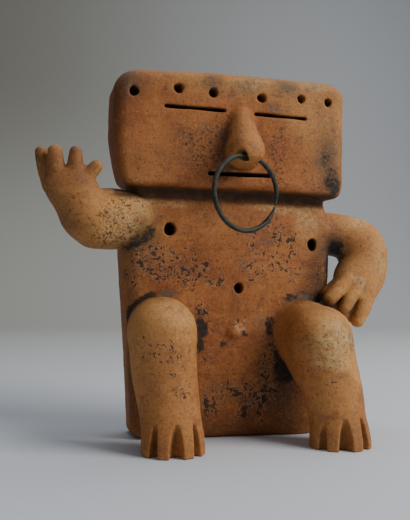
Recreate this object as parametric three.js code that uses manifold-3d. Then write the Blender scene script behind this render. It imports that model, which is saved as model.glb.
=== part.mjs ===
import * as THREE from 'three';
import { mergeVertices } from 'three/addons/utils/BufferGeometryUtils.js';
import Module from 'manifold-3d';

// Seated slab figure in fired clay, with an open metal ring through its nose.
// Millimetres, +Z up. The face looks along -Y, and the raised arm is on the -X side.
// The origin is on the ground, under the middle of the whole figure.

// Slab body
const BODY_MIDDLE_X = 0.4;
const BODY_HALF_WIDTH_BASE = 63.4;
const BODY_HALF_WIDTH_SHOULDER = 72;
const BODY_HALF_DEPTH = 18;
const BODY_CORNER = 11;
const BASE_ROUND = 5;
const SHOULDER_Z = 125;
const NECK_Z = 157;
const NECK_HALF_WIDTH = 68.5;
const NECK_HALF_DEPTH = 14.5;
const NECK_BLEND = 15;
const NECK_TOP = 170;

// Head block
const HEAD_BOTTOM = 160.5;
const HEAD_TOP = 238;
const HEAD_LEFT = 78.4;
const HEAD_RIGHT = 77.8;
const HEAD_FRONT = 24;
const HEAD_BACK = 18;
const HEAD_CORNER = 10;
const HEAD_ROUND_TOP_LEFT = 18;
const HEAD_ROUND_TOP_RIGHT = 14;
const HEAD_ROUND_BOTTOM = 9;
const HEAD_EDGE_TOP = 11;
const HEAD_EDGE_BOTTOM = 6.5;
const HEAD_WIDEST_Z = 200;
const HEAD_TAPER_LEFT = 5;
const HEAD_TAPER_RIGHT = 3;
const HEAD_ARCH_LEFT = 3.4;
const HEAD_ARCH_RIGHT = 1.2;
const HEAD_DROOP = 3;
const FACE_CROWN = 1.2;

// A corner radius stays under this share of the side it rounds.
const CORNER_SHARE = 0.49;

// Perforations and slits
const HOLE_DIAMETER = 5.5;
const CUT_START = -40;
const CUT_END = 40;
const HEAD_HOLES = [
  [-66.8, 219.6],
  [-38.3, 223.2],
  [-15.1, 222.8],
  [17.6, 221.8],
  [45.2, 223],
  [64.4, 222.2],
];
const BODY_HOLES = [
  [-41.3, 133.6],
  [56.5, 126.2],
  [5.3, 96.9],
];
const BODY_HOLE_DEPTH = 22;
const SLIT_HEIGHT = 2.2;
const SLIT_DEPTH = 14;
const EYE_LEFT = [[-47.4, 211.6], [-7.2, 211.1]];
const EYE_RIGHT = [[12.2, 210.4], [48.3, 209.7]];
const MOUTH = [[-18, 170.1], [24.3, 170.4]];
const NUB_POSITION = [1.6, 67.8];
const NUB_RADIUS = 4.2;
const NUB_HEIGHT = 2.6;

// Nose: each level is [height, half width, how far it stands out of the face].
const NOSE_X = 3.9;
const NOSE_LEVELS = [
  [215, 2.2, 1.2],
  [213, 5, 3.4],
  [209, 7, 6.8],
  [202, 8.8, 11.6],
  [194, 10.6, 17],
  [187, 12.2, 21.8],
  [182, 12.2, 24.2],
  [178.5, 10.8, 23.8],
  [175.8, 8.2, 21.4],
  [174, 5.2, 17],
  [173.3, 2.4, 13],
];
const NOSE_FULLNESS = 0.92;
const NOSE_EDGE_DEPTH = 2;
const NOSE_ROOT_DEPTH = 6;
const NOSE_BORE_DIAMETER = 6;
const NOSE_BORE_LENGTH = 60;
const NOSE_BORE_CENTRE = [4.3, -41.3, 179.1];
const NOSE_BORE_SLOPE = 8;

// Nose ring
const RING_OUTER_DIAMETER = 50;
const RING_WIRE_DIAMETER = 3.1;
const RING_CENTRE = [1.9, -42, 156.3];
const RING_TURN = 17;
const RING_GAP_ANGLE = -17;
const RING_GAP = 1.6;
const RING_TAPER = 0.35;
const RING_END_SHARE = 0.55;

// A groove between two toes: each level is [height, share of its width, share of its reach].
const TOE_GROOVE_REACH = 8.5;
const TOE_GROOVE_LEVELS = [
  [-4, 1.1, 1],
  [10.5, 0.9, 0.9],
  [21, 0.4, 0.5],
];
const TOE_GROOVE_LEAN = 1;

// Facets
const LIMB_SIDES = 20;
const FINGER_SIDES = 10;
const HOLE_SIDES = 14;
const NOSE_SIDES = 20;
const CAP_STEPS = 3;
const CAP_TIP_STEP = 0.35;
const CORNER_STEPS = 4;
const FACE_STEPS = 6;
const RING_SIDES = 8;
const RING_STEPS = 44;

const GROUND_SIZE = 400;
const GROUND_DEPTH = 20;

const wasm = await Module();
wasm.setup();

// Makes a solid from a closed geometry.
function solidFrom(geometry) {
  const bare = geometry.clone();
  bare.deleteAttribute('normal');
  bare.deleteAttribute('uv');
  const merged = mergeVertices(bare, 1e-4);
  const mesh = new wasm.Mesh({
    numProp: 3,
    vertProperties: new Float32Array(merged.attributes.position.array),
    triVerts: new Uint32Array(merged.index.array),
  });
  return new wasm.Manifold(mesh);
}

// Makes a geometry from a solid.
function geometryFrom(solid) {
  const mesh = solid.getMesh();
  const geometry = new THREE.BufferGeometry();
  geometry.setAttribute('position', new THREE.BufferAttribute(mesh.vertProperties, 3));
  geometry.setIndex(new THREE.BufferAttribute(mesh.triVerts, 1));
  geometry.computeVertexNormals();
  return geometry;
}

// Skins a stack of rings with equal point counts and closes both ends with a fan.
function skin(rings) {
  const count = rings[0].length;
  const points = rings.flat();
  const faces = [];
  for (let level = 0; level + 1 < rings.length; level += 1) {
    for (let i = 0; i < count; i += 1) {
      const next = (i + 1) % count;
      const a = level * count + i;
      const b = level * count + next;
      faces.push(a, b, b + count);
      faces.push(a, b + count, a + count);
    }
  }
  const first = centreOf(rings[0]);
  const last = centreOf(rings[rings.length - 1]);
  const firstIndex = points.push(first) - 1;
  const lastIndex = points.push(last) - 1;
  const top = (rings.length - 1) * count;
  for (let i = 0; i < count; i += 1) {
    const next = (i + 1) % count;
    faces.push(firstIndex, next, i);
    faces.push(lastIndex, top + i, top + next);
  }
  const geometry = new THREE.BufferGeometry().setFromPoints(points);
  geometry.setIndex(faces);
  return facedOut(geometry);
}

function centreOf(ring) {
  const centre = new THREE.Vector3();
  ring.forEach((point) => centre.add(point));
  return centre.divideScalar(ring.length);
}

// Turns every face over when the enclosed volume comes out negative.
function facedOut(geometry) {
  const position = geometry.attributes.position;
  const index = geometry.index.array;
  const corner = [new THREE.Vector3(), new THREE.Vector3(), new THREE.Vector3()];
  let volume = 0;
  for (let i = 0; i < index.length; i += 3) {
    corner.forEach((point, k) => point.fromBufferAttribute(position, index[i + k]));
    volume += corner[0].dot(corner[1].clone().cross(corner[2]));
  }
  if (volume < 0) {
    for (let i = 0; i < index.length; i += 3) {
      [index[i], index[i + 1]] = [index[i + 1], index[i]];
    }
  }
  return geometry;
}

// How far a rounded edge draws back at a distance from its end.
function edgeInset(distance, radius) {
  const short = radius - Math.min(distance, radius);
  return radius - Math.sqrt(radius * radius - short * short);
}

function smoothStep(value, start, end) {
  return THREE.MathUtils.smoothstep(value, start, end);
}

// One level of the slab: a rectangle with round corners and a slightly crowned front and back.
function slabRing(z, { left, right, front, back, corner, crown }) {
  const radius = Math.min(corner, (front + back) * CORNER_SHARE);
  const corners = [
    [right - radius, back - radius, 0],
    [-left + radius, back - radius, Math.PI / 2],
    [-left + radius, -front + radius, Math.PI],
    [right - radius, -front + radius, Math.PI * 1.5],
  ];
  const ring = [];
  corners.forEach(([x, y, start], k) => {
    for (let step = 0; step <= CORNER_STEPS; step += 1) {
      const angle = start + (step / CORNER_STEPS) * (Math.PI / 2);
      ring.push(new THREE.Vector3(x + radius * Math.cos(angle), y + radius * Math.sin(angle), z));
    }
    if (k === 0 || k === 2) {
      const side = k === 0 ? 1 : -1;
      const face = k === 0 ? back : -front;
      const from = corners[k][0];
      const to = corners[k + 1][0];
      for (let step = 1; step < FACE_STEPS; step += 1) {
        const t = step / FACE_STEPS;
        const rise = crown * (1 - (2 * t - 1) ** 2);
        ring.push(new THREE.Vector3(THREE.MathUtils.lerp(from, to, t), face + side * rise, z));
      }
    }
  });
  return ring;
}

// A round limb through stations of [x, y, z, half width, half depth].
// The width lies along the across direction, and an end is round unless it is cut flat.
function limb(stations, { across, sides = LIMB_SIDES, steps = 8, flatStart = false, flatEnd = false }) {
  const path = new THREE.CatmullRomCurve3(stations.map(([x, y, z]) => new THREE.Vector3(x, y, z)));
  const sizes = new THREE.CatmullRomCurve3(stations.map(([, , , w, d]) => new THREE.Vector3(w, d, 0)));
  const widthGuide = new THREE.Vector3(...across);
  const ringAt = (t, shift, scale) => {
    const tangent = path.getTangent(t);
    const width = widthGuide.clone().addScaledVector(tangent, -widthGuide.dot(tangent)).normalize();
    const depth = tangent.clone().cross(width);
    const size = sizes.getPoint(t);
    const centre = path.getPoint(t).addScaledVector(tangent, shift * Math.min(size.x, size.y));
    return Array.from({ length: sides }, (_, i) => {
      const angle = (i / sides) * 2 * Math.PI;
      return centre.clone()
        .addScaledVector(width, size.x * scale * Math.cos(angle))
        .addScaledVector(depth, size.y * scale * Math.sin(angle));
    });
  };
  const capAngles = Array.from({ length: CAP_STEPS }, (_, k) => (
    ((k + 1) / (CAP_STEPS + CAP_TIP_STEP)) * (Math.PI / 2)
  ));
  const rings = [];
  if (!flatStart) {
    [...capAngles].reverse().forEach((angle) => {
      rings.push(ringAt(0, -Math.sin(angle), Math.cos(angle)));
    });
  }
  for (let step = 0; step <= steps; step += 1) {
    rings.push(ringAt(step / steps, 0, 1));
  }
  if (!flatEnd) {
    capAngles.forEach((angle) => {
      rings.push(ringAt(1, Math.sin(angle), Math.cos(angle)));
    });
  }
  return solidFrom(skin(rings));
}

// The slab body, which narrows to a neck inside the head.
function slabBody() {
  const heights = [0, 0.7, 2.3, BASE_ROUND, 45, 85, SHOULDER_Z, 142, 147, 151, 154, NECK_Z, NECK_TOP];
  const rings = heights.map((z) => {
    const taper = Math.min(z / SHOULDER_Z, 1);
    const width = THREE.MathUtils.lerp(BODY_HALF_WIDTH_BASE, BODY_HALF_WIDTH_SHOULDER, taper);
    const neck = smoothStep(z, NECK_Z - NECK_BLEND, NECK_Z);
    const draw = edgeInset(z, BASE_ROUND);
    const halfWidth = THREE.MathUtils.lerp(width, NECK_HALF_WIDTH, neck) - draw;
    const halfDepth = THREE.MathUtils.lerp(BODY_HALF_DEPTH, NECK_HALF_DEPTH, neck) - draw;
    return slabRing(z, {
      left: halfWidth - BODY_MIDDLE_X,
      right: halfWidth + BODY_MIDDLE_X,
      front: halfDepth,
      back: halfDepth,
      corner: BODY_CORNER,
      crown: FACE_CROWN * (1 - neck),
    });
  });
  return solidFrom(skin(rings));
}

// The head block, a pillow with round edges, lower at its ends than in the middle.
function headBlock() {
  const rise = HEAD_TOP - HEAD_BOTTOM;
  const heights = [0, 0.6, 2.2, 5, HEAD_ROUND_BOTTOM, 15, 26, rise / 2, 52];
  [HEAD_ROUND_TOP_LEFT, 14, 10, 6.5, 3.8, 1.8, 0.6, 0].forEach((drop) => heights.push(rise - drop));
  const rings = heights.map((height) => {
    const fromTop = rise - height;
    const z = HEAD_BOTTOM + height;
    const taper = (Math.max(HEAD_WIDEST_Z - z, 0) / (HEAD_WIDEST_Z - HEAD_BOTTOM)) ** 2;
    const lowSide = edgeInset(height, HEAD_ROUND_BOTTOM);
    const edge = edgeInset(fromTop, HEAD_EDGE_TOP) + edgeInset(height, HEAD_EDGE_BOTTOM);
    const ring = slabRing(z, {
      left: HEAD_LEFT - HEAD_TAPER_LEFT * taper - lowSide - edgeInset(fromTop, HEAD_ROUND_TOP_LEFT),
      right: HEAD_RIGHT - HEAD_TAPER_RIGHT * taper - lowSide - edgeInset(fromTop, HEAD_ROUND_TOP_RIGHT),
      front: HEAD_FRONT - edge,
      back: HEAD_BACK - edge,
      corner: HEAD_CORNER,
      crown: FACE_CROWN,
    });
    ring.forEach((point) => {
      const low = 1 - height / rise;
      const arch = point.x < 0 ? HEAD_ARCH_LEFT : HEAD_ARCH_RIGHT;
      point.z -= arch * (point.x / HEAD_LEFT) ** 2 * (1 - low);
      point.z -= HEAD_DROOP * smoothStep(point.x, 25, HEAD_RIGHT) * low;
    });
    return ring;
  });
  return solidFrom(skin(rings));
}

// The tall nose, a stack of half rings whose root lies inside the head.
function nose() {
  const edge = -HEAD_FRONT + NOSE_EDGE_DEPTH;
  const rings = NOSE_LEVELS.map(([z, halfWidth, reach]) => {
    const ring = Array.from({ length: NOSE_SIDES }, (_, i) => {
      const angle = Math.PI + (i / (NOSE_SIDES - 1)) * Math.PI;
      const ahead = Math.abs(Math.sin(angle)) ** NOSE_FULLNESS;
      const y = edge - (reach + NOSE_EDGE_DEPTH) * ahead;
      return new THREE.Vector3(NOSE_X + halfWidth * Math.cos(angle), y, z);
    });
    ring.push(new THREE.Vector3(NOSE_X, -HEAD_FRONT + NOSE_ROOT_DEPTH, z));
    return ring;
  });
  return solidFrom(skin(rings));
}

// The raised arm with its open hand, three fingers and a thumb.
function raisedArm() {
  const upperArm = limb([
    [-42, 3, 142, 10, 8],
    [-54, -1, 140.5, 16.5, 16],
    [-66, -2.5, 139.8, 20, 18.5],
    [-79, -7, 140, 19.5, 19],
    [-90, -13, 139.8, 18.8, 18],
  ], { across: [0, 0, 1], steps: 7 });
  const forearm = limb([
    [-91.5, -16, 137.2, 17, 16.6],
    [-96.4, -20, 144, 16.6, 15.3],
    [-101.3, -23, 151.5, 15.4, 12.5],
    [-105.3, -25, 158, 15.4, 9],
    [-107.6, -26, 162, 15, 7],
  ], { across: [1, 0, 0.35], steps: 8 });
  const fingers = [
    [[-118, -23, 158, 4.2, 4.6], [-120.8, -22, 168, 3.7, 4], [-123, -21, 178, 3.2, 3.4]],
    [[-112.2, -26, 157, 5.4, 4.8], [-113.8, -27, 168, 5.1, 4.4], [-115, -27, 177, 4.3, 3.9]],
    [[-104.3, -27, 157, 5.2, 4.8], [-103.6, -28, 168, 4.4, 4.3], [-102.7, -28, 178, 3.5, 3.5]],
    [[-99.5, -27, 156, 5, 4.6], [-94.2, -28.5, 163.6, 4.3, 4.1], [-88.9, -29, 169.4, 3.5, 3.4]],
  ].map((stations) => limb(stations, { across: [1, 0, 0], sides: FINGER_SIDES, steps: 3 }));
  return [upperArm, forearm, ...fingers];
}

// The arm akimbo, whose hand lies on the hip with its fingers down.
function akimboArm() {
  const upperArm = limb([
    [46, 2, 136, 10, 9],
    [58, 0, 135.5, 15, 15],
    [71, -1, 134.8, 15, 15.5],
    [83, -3, 133.8, 14.8, 14.5],
    [94, -7, 131.6, 16.2, 14.8],
  ], { across: [0, 0, 1], steps: 7 });
  const forearm = limb([
    [97.6, -9, 125.5, 17, 14.8],
    [97.6, -12, 116, 16.4, 14],
    [93.6, -16, 107, 17, 12],
    [88.6, -20.5, 101, 17, 9.5],
    [84, -24, 96.5, 15.6, 7],
  ], { across: [0.9, 0, -0.35], steps: 8 });
  const fingers = [
    [[78, -25.5, 103, 4.8, 4.8], [70.4, -27.5, 95.8, 4.2, 4.3], [64.4, -28, 89.6, 3.5, 3.7]],
    [[86, -27, 100, 4.8, 4.8], [79.3, -29.5, 91, 4.3, 4.3], [74.4, -30, 84, 3.5, 3.6]],
    [[97, -21, 102, 5.6, 5.6], [91.4, -26, 87.4, 5, 4.8], [84, -28, 74.6, 3.8, 4]],
    [[76, -20, 102, 4, 4.2], [70, -20.5, 98, 3.6, 3.8], [65.4, -20.5, 94.8, 3.1, 3.3]],
  ].map((stations) => limb(stations, { across: [1, 0, 0.5], sides: FINGER_SIDES, steps: 3 }));
  return [upperArm, forearm, ...fingers];
}

// A leg: the thigh comes out of the slab, and the shank stands in front on a toed foot.
function leg({ thigh, shank, grooves }) {
  const upper = limb(thigh, { across: [1, 0, 0], steps: 5, flatStart: true });
  const lower = limb(shank, { across: [1, 0, 0], steps: 10, flatEnd: true });
  let whole = upper.add(lower);
  grooves.forEach(({ x, y, turn, width }) => {
    const angle = THREE.MathUtils.degToRad(turn);
    const stations = TOE_GROOVE_LEVELS.map(([z, widthShare, reachShare], level) => {
      const lean = level === TOE_GROOVE_LEVELS.length - 1 ? TOE_GROOVE_LEAN : 0;
      return [x, y - lean, z, width * widthShare, TOE_GROOVE_REACH * reachShare];
    });
    const across = [Math.cos(angle), Math.sin(angle), 0];
    whole = whole.subtract(limb(stations, { across, sides: FINGER_SIDES, steps: 4 }));
  });
  return whole;
}

function leftLeg() {
  return leg({
    thigh: [
      [-47, 4, 68, 19, 21.5],
      [-47.8, -14, 69, 19.2, 21.5],
      [-49.5, -30, 70, 19.8, 20.6],
      [-50.3, -43, 70.8, 20, 20.2],
    ],
    shank: [
      [-50.2, -46, 70.8, 20.4, 19],
      [-49.3, -47, 52, 20, 18.2],
      [-47, -49, 34, 18.8, 17],
      [-45.2, -51.5, 18, 18, 16.6],
      [-44.4, -54.5, 6, 19, 17],
      [-44.2, -55.5, -4, 19.2, 17],
    ],
    grooves: [
      { x: -60.2, y: -68.5, turn: -38, width: 2.4 },
      { x: -46, y: -73.5, turn: 0, width: 3.4 },
      { x: -31.4, y: -69, turn: 38, width: 2.2 },
    ],
  });
}

function rightLeg() {
  return leg({
    thigh: [
      [48.5, 4, 69.5, 19.5, 21],
      [49.5, -14, 69.5, 20, 21],
      [51, -30, 68, 20, 20.3],
      [51.6, -43, 66.4, 20, 20],
    ],
    shank: [
      [51.8, -46, 66, 20, 19],
      [55, -47, 50, 19.6, 18],
      [58.2, -49, 34, 18.9, 17],
      [60.4, -51.5, 18, 18, 16.6],
      [61.2, -54.5, 6, 19, 17],
      [61.4, -55.5, -4, 19.2, 17],
    ],
    grooves: [
      { x: 42.6, y: -68, turn: -38, width: 2.4 },
      { x: 57.4, y: -73.5, turn: 0, width: 3.4 },
      { x: 72.8, y: -69.5, turn: 38, width: 2.2 },
    ],
  });
}

// A round hole along Y, from in front of the figure to the given depth plane.
function holeAlongY([x, z], end) {
  const radius = HOLE_DIAMETER / 2;
  const geometry = new THREE.CylinderGeometry(radius, radius, end - CUT_START, HOLE_SIDES);
  geometry.translate(x, (CUT_START + end) / 2, z);
  return solidFrom(geometry);
}

// A slit with round ends between two points of the face.
function slit([[x0, z0], [x1, z1]]) {
  const length = Math.hypot(x1 - x0, z1 - z0) - SLIT_HEIGHT;
  const radius = SLIT_HEIGHT / 2;
  const outline = new THREE.Shape();
  outline.absarc(length / 2, 0, radius, -Math.PI / 2, Math.PI / 2, false);
  outline.absarc(-length / 2, 0, radius, Math.PI / 2, Math.PI * 1.5, false);
  const depth = SLIT_DEPTH - HEAD_FRONT - CUT_START;
  const geometry = new THREE.ExtrudeGeometry(outline, { depth, bevelEnabled: false, curveSegments: 6 });
  geometry.rotateX(-Math.PI / 2);
  geometry.rotateY(-Math.atan2(z1 - z0, x1 - x0));
  geometry.translate((x0 + x1) / 2, CUT_START, (z0 + z1) / 2);
  return solidFrom(geometry);
}

// The hole from side to side through the tip of the nose.
function noseBore() {
  const radius = NOSE_BORE_DIAMETER / 2;
  const geometry = new THREE.CylinderGeometry(radius, radius, NOSE_BORE_LENGTH, HOLE_SIDES);
  geometry.rotateZ(Math.PI / 2);
  geometry.rotateY(THREE.MathUtils.degToRad(NOSE_BORE_SLOPE));
  geometry.rotateZ(THREE.MathUtils.degToRad(RING_TURN));
  geometry.translate(...NOSE_BORE_CENTRE);
  return solidFrom(geometry);
}

// The small nub low on the belly.
function nub() {
  const geometry = new THREE.SphereGeometry(NUB_RADIUS, 14, 8);
  const tip = -BODY_HALF_DEPTH - FACE_CROWN - NUB_HEIGHT;
  geometry.translate(NUB_POSITION[0], tip + NUB_RADIUS, NUB_POSITION[1]);
  return solidFrom(geometry);
}

// Everything under the surface that the figure stands on.
function ground() {
  const geometry = new THREE.BoxGeometry(GROUND_SIZE, GROUND_SIZE, GROUND_DEPTH);
  geometry.translate(0, 0, -GROUND_DEPTH / 2);
  return solidFrom(geometry);
}

function figureSolid() {
  const clay = [headBlock(), nose(), nub(), leftLeg(), rightLeg(), ...raisedArm(), ...akimboArm()];
  let whole = clay.reduce((sum, solid) => sum.add(solid), slabBody());
  whole = whole.subtract(ground());
  HEAD_HOLES.forEach((place) => {
    whole = whole.subtract(holeAlongY(place, CUT_END));
  });
  BODY_HOLES.forEach((place) => {
    whole = whole.subtract(holeAlongY(place, -BODY_HALF_DEPTH + BODY_HOLE_DEPTH));
  });
  [EYE_LEFT, EYE_RIGHT, MOUTH].forEach((ends) => {
    whole = whole.subtract(slit(ends));
  });
  return whole.subtract(noseBore());
}

// The open ring, a round wire whose two ends taper towards the gap.
function ringGeometry() {
  const radius = (RING_OUTER_DIAMETER - RING_WIRE_DIAMETER) / 2;
  const gap = RING_GAP / radius;
  const start = THREE.MathUtils.degToRad(RING_GAP_ANGLE) + gap / 2;
  const sweep = 2 * Math.PI - gap;
  const turn = THREE.MathUtils.degToRad(RING_TURN);
  const rings = [];
  for (let step = 0; step <= RING_STEPS; step += 1) {
    const along = step / RING_STEPS;
    const angle = start + along * sweep;
    const toEnd = Math.min(along, 1 - along) * sweep;
    const share = THREE.MathUtils.lerp(RING_END_SHARE, 1, smoothStep(toEnd, 0, RING_TAPER));
    const wire = (RING_WIRE_DIAMETER / 2) * share;
    const ring = [];
    for (let i = 0; i < RING_SIDES; i += 1) {
      const around = (i / RING_SIDES) * 2 * Math.PI;
      const distance = radius + wire * Math.cos(around);
      const x = distance * Math.cos(angle);
      const z = distance * Math.sin(angle);
      ring.push(new THREE.Vector3(x, wire * Math.sin(around), z));
    }
    rings.push(ring);
  }
  const geometry = skin(rings);
  geometry.rotateZ(turn);
  geometry.translate(...RING_CENTRE);
  geometry.computeVertexNormals();
  return geometry;
}

const clayMaterial = new THREE.MeshStandardMaterial({
  color: 0xa5643a,
  roughness: 0.85,
  metalness: 0,
});
const ringMaterial = new THREE.MeshStandardMaterial({
  color: 0x2f3a34,
  roughness: 0.55,
  metalness: 0.7,
});

const figure = new THREE.Mesh(geometryFrom(figureSolid()), clayMaterial);
figure.name = 'figure';
const noseRing = new THREE.Mesh(ringGeometry(), ringMaterial);
noseRing.name = 'nose_ring';

const group = new THREE.Group();
group.add(figure, noseRing);
const extent = new THREE.Box3().setFromObject(group);
const middle = extent.getCenter(new THREE.Vector3());
group.position.set(-middle.x, -middle.y, -extent.min.z);

export default group;
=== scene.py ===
import math

import bpy
import numpy as np
import openvdb
from mathutils import Matrix, Vector


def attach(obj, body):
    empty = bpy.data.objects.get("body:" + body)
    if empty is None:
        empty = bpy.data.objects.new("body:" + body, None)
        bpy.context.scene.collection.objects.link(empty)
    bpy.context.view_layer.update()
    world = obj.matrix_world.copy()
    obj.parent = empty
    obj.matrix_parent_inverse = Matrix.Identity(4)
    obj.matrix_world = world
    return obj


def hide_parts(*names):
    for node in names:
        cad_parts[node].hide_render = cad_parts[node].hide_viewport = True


# A seated slab figure in fired clay with a metal ring through its nose.
# Lengths are in millimetres in the slab's own coordinates until a mesh is made:
# x to the viewer's right, y to the back, z up, and the middle of the slab at x = y = 0.

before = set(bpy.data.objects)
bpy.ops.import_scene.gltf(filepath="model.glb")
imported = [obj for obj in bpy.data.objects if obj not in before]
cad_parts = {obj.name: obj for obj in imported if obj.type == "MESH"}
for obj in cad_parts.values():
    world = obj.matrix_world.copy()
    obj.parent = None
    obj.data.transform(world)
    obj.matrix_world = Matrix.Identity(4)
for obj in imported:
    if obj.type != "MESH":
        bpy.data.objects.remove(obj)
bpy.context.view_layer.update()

OFFSET = np.array([5.82068, 26.51718, 0.0])
MM = 0.001

# ---- Field of distances -------------------------------------------------------------

VOXEL = 0.8
FIELD_LOW = np.array([-130.0, -76.0, -4.0])
FIELD_HIGH = np.array([119.0, 24.0, 242.0])
FAR = 20.0
PAD = 10.0

SHAPE = tuple(int(n) for n in np.ceil((FIELD_HIGH - FIELD_LOW) / VOXEL) + 1)
field = np.full(SHAPE, FAR, np.float32)
AXES = [
    (FIELD_LOW[k] + VOXEL * np.arange(SHAPE[k])).astype(np.float32) for k in range(3)
]


def block(low, high, pad=PAD):
    """The slices and the coordinates of the field inside a box."""
    cuts, grids = [], []
    for k in range(3):
        first = max(int((low[k] - pad - FIELD_LOW[k]) / VOXEL), 0)
        last = min(int((high[k] + pad - FIELD_LOW[k]) / VOXEL) + 2, SHAPE[k])
        cuts.append(slice(first, last))
        form = [1, 1, 1]
        form[k] = -1
        grids.append(AXES[k][first:last].reshape(form))
    return tuple(cuts), grids


def smooth_step(value, start, end):
    t = np.clip((value - start) / (end - start), 0, 1)
    return t * t * (3 - 2 * t)


def mix(a, b, t):
    return a + (b - a) * t


def soft_min(a, b, reach):
    """The union of two distances, with a fillet where they meet."""
    if reach <= 0:
        return np.minimum(a, b)
    near = np.maximum(reach - np.abs(a - b), 0) / reach
    return np.minimum(a, b) - near * near * reach / 4


def soft_max(a, b, reach):
    return -soft_min(-a, -b, reach)


def round_and(a, b, radius):
    """The overlap of two distances, with the edge between them rounded."""
    p, q = a + radius, b + radius
    outside = np.sqrt(np.maximum(p, 0) ** 2 + np.maximum(q, 0) ** 2)
    return np.minimum(np.maximum(p, q), 0) + outside - radius


def add(shape, low, high, reach):
    cut, (x, y, z) = block(low, high)
    field[cut] = soft_min(field[cut], shape(x, y, z), reach)


def carve(shape, low, high, reach):
    cut, (x, y, z) = block(low, high, 4.0)
    field[cut] = soft_max(field[cut], -shape(x, y, z), reach)


# ---- Limbs ---------------------------------------------------------------------------


def spline(points, count):
    """A smooth line of count points through stations of any width."""
    p = np.array(points, float)
    p = np.vstack([2 * p[0] - p[1], p, 2 * p[-1] - p[-2]])
    spans = len(points) - 1
    made = []
    for t in np.linspace(0, spans, count):
        i = min(int(t), spans - 1)
        s = t - i
        a, b, c, d = p[i : i + 4]
        made.append(
            0.5
            * (
                2 * b
                + (c - a) * s
                + (2 * a - 5 * b + 4 * c - d) * s * s
                + (3 * b - a - 3 * c + d) * s**3
            )
        )
    return np.array(made)


def limb(stations, across, count=9):
    """A round limb through [x, y, z, half width, half depth]: its distance on a block."""
    line = spline(stations, count)
    centres, sizes = line[:, :3], line[:, 3:]
    tangents = np.gradient(centres, axis=0)
    tangents /= np.linalg.norm(tangents, axis=1)[:, None]
    guide = np.array(across, float)
    widths = guide - tangents * (tangents @ guide)[:, None]
    widths /= np.linalg.norm(widths, axis=1)[:, None]
    depths = np.cross(tangents, widths)
    most = sizes.max()
    low, high = centres.min(0) - most, centres.max(0) + most

    def distance(x, y, z):
        made = None
        for i in range(count - 1):
            c0, step = centres[i], centres[i + 1] - centres[i]
            rx, ry, rz = x - c0[0], y - c0[1], z - c0[2]
            s = (rx * step[0] + ry * step[1] + rz * step[2]) / (step @ step)
            s = np.clip(s, 0, 1).astype(np.float32)
            rx, ry, rz = rx - s * step[0], ry - s * step[1], rz - s * step[2]
            a = mix(sizes[i, 0], sizes[i + 1, 0], s)
            b = mix(sizes[i, 1], sizes[i + 1, 1], s)
            m = np.minimum(a, b)
            w, d, t = widths[i], depths[i], tangents[i]
            across_ = rx * w[0] + ry * w[1] + rz * w[2]
            along_d = rx * d[0] + ry * d[1] + rz * d[2]
            along_t = rx * t[0] + ry * t[1] + rz * t[2]
            k0 = np.sqrt((across_ / a) ** 2 + (along_d / b) ** 2 + (along_t / m) ** 2)
            k1 = np.sqrt(
                (across_ / a**2) ** 2 + (along_d / b**2) ** 2 + (along_t / m**2) ** 2
            )
            part = k0 * (k0 - 1) / np.maximum(k1, 1e-6)
            made = part if made is None else np.minimum(made, part)
        return made

    return distance, low, high


def add_limb(stations, across, reach, count=9):
    distance, low, high = limb(stations, across, count)
    add(distance, low, high, reach)


LIMBS = []


def add_group(limbs, reach, inner):
    """Several limbs blended with each other first, and then with the figure."""
    made = [limb(*one) for one in limbs]
    LIMBS.append(made)
    low = np.min([m[1] for m in made], axis=0)
    high = np.max([m[2] for m in made], axis=0)

    def distance(x, y, z):
        whole = made[0][0](x, y, z)
        for (one, _, _), soft in zip(made[1:], inner):
            whole = soft_min(whole, one(x, y, z), soft)
        return whole

    add(distance, low, high, reach)


# ---- Slab body and head --------------------------------------------------------------


def slab_distance(x, y, z):
    taper = np.clip(z / 125, 0, 1)
    neck = smooth_step(z, 140, 157)
    half_width = mix(mix(63.4, 72, taper), 68.5, neck)
    half_depth = mix(18, 14.5, neck)
    middle = x - 0.4
    crown = 1.2 * np.clip(1 - (middle / 72) ** 2, 0, 1) * (1 - neck)
    side = round_and(np.abs(middle) - half_width, np.abs(y) - crown - half_depth, 11)
    return round_and(side, np.maximum(-z, z - 172), 5)


def head_distance(x, y, z):
    height = np.clip((z - 160.5) / 77.5, 0, 1)
    arch = np.where(x < 0, 3.8, 1.6) * (x / 78.4) ** 2 + 1.2
    level = z + arch * height + 3 * smooth_step(x, 25, 77.8) * (1 - height)
    taper = (np.clip(200 - level, 0, 40) / 39.5) ** 2
    right_side = smooth_step(x, -10, 10)
    width = mix(78.6 - 7.6 * taper, 77.4 - 3 * taper, right_side)
    corner = np.where(level > 200, mix(13, 12, right_side), 7)
    outline = round_and(
        np.abs(x) - width, np.maximum(level - 238, 160.5 - level), corner
    )
    crown = 1.2 * np.clip(1 - (x / 78) ** 2, 0, 1)
    edge = mix(4, 8, smooth_step(level, 164, 190))
    return round_and(outline, np.abs(y + 3) - crown - 21, edge)


# ---- Nose ----------------------------------------------------------------------------

NOSE_X = 3.7
NOSE_FRONT = -22
NOSE_LEVELS = np.array(
    [
        [172.8, 0.6, 12],
        [173.6, 3.8, 17],
        [174.6, 6.4, 20.5],
        [176.2, 9.0, 23.4],
        [178.5, 11.2, 25.4],
        [182, 12.3, 26.0],
        [187, 12.3, 24.0],
        [194, 11.0, 19.4],
        [202, 9.6, 14.2],
        [208, 8.0, 9.8],
        [212, 6.4, 6.6],
        [214.6, 4.2, 3.8],
        [216.2, 0.6, 1.6],
    ]
)


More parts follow.
